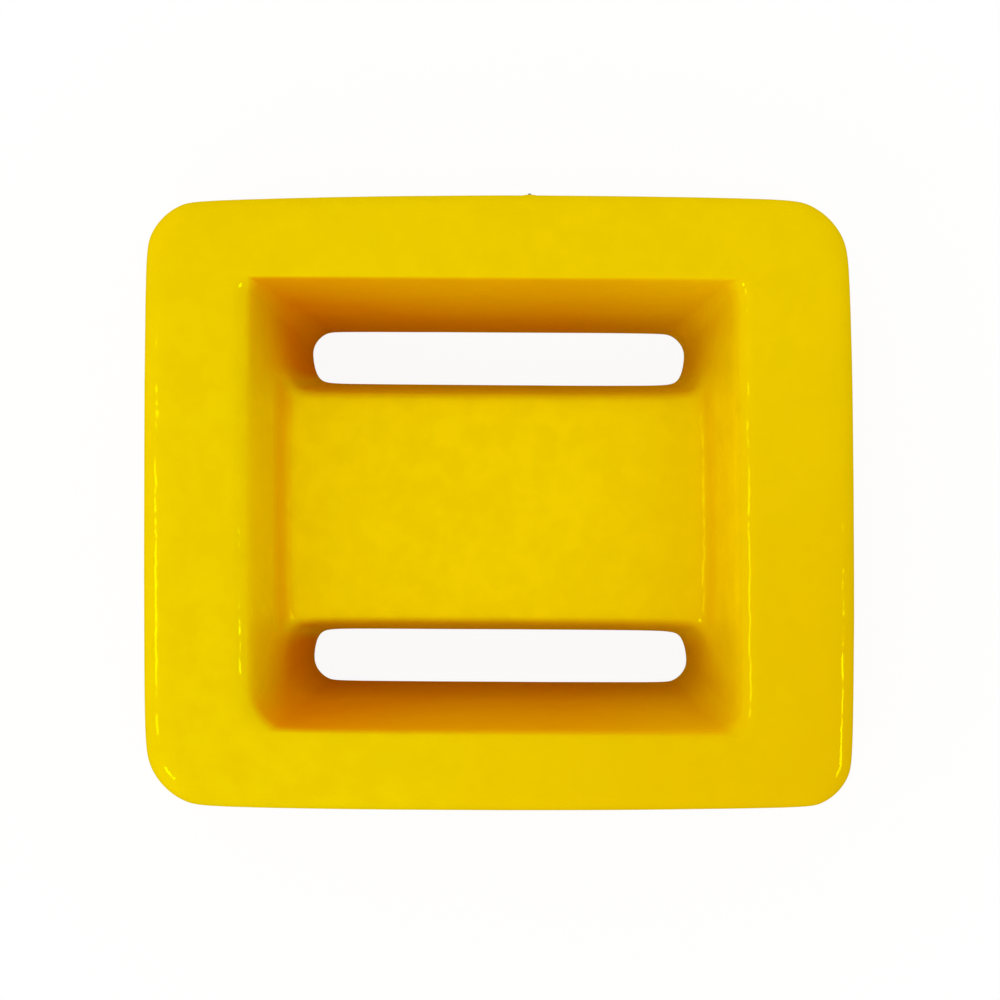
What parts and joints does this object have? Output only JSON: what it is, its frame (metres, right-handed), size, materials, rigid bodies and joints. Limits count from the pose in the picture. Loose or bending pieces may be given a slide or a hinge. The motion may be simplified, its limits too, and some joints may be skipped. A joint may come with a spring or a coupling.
{
  "type": "lead dive weight",
  "caption": "Vinyl-coated lead weight with two slots that thread onto a diver's webbing belt.",
  "frame": {"origin": "middle of the flat back, on the plane the weight lies on", "axes": "+X along the belt slots, +Y across the bar between them, +Z out of the hollowed front face"},
  "size_m": [0.0982, 0.0854, 0.027],
  "materials": {
    "cast_lead": "dull grey cast lead, slightly grainy",
    "yellow_vinyl": "glossy dip-coated soft vinyl, faint orange peel"
  },
  "bodies": {
    "root": {"lead_core": "cast_lead", "vinyl_coating": "yellow_vinyl"}
  },
  "joints": []
}
